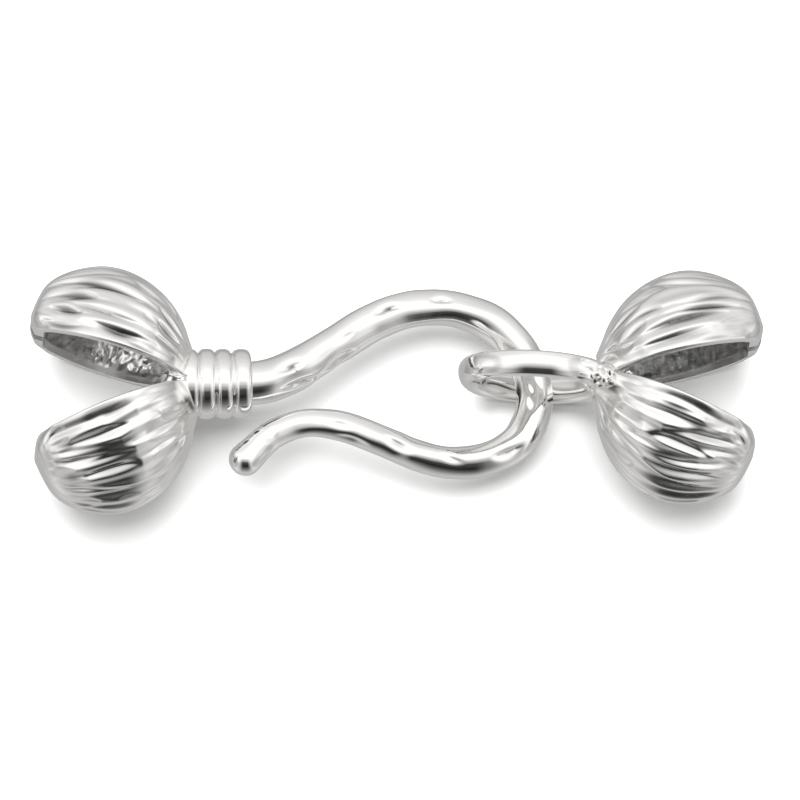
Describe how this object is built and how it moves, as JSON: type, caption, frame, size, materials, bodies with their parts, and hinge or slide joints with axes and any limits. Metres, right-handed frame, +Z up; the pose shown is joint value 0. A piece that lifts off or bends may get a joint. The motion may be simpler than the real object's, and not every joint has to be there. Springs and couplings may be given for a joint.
{
  "type": "hook and eye clasp with clamshell bead tips",
  "caption": "Cast silver hook-and-eye clasp, fastened, with a pair of open fluted clamshell bead tips on each half to close over a knotted cord",
  "frame": {"origin": "on the surface the clasp lies on, under the middle of its box", "axes": "+X along the clasp from the hook half's cups to the eye half's cups, +Z up from the surface"},
  "size_m": [0.0408, 0.0136, 0.0094],
  "materials": {
    "hook_silver": "polished cast silver, bright plated",
    "eye_silver": "polished cast silver, bright plated"
  },
  "bodies": {
    "root": {"hook_half": "hook_silver", "eye_half": "eye_silver"}
  },
  "joints": []
}
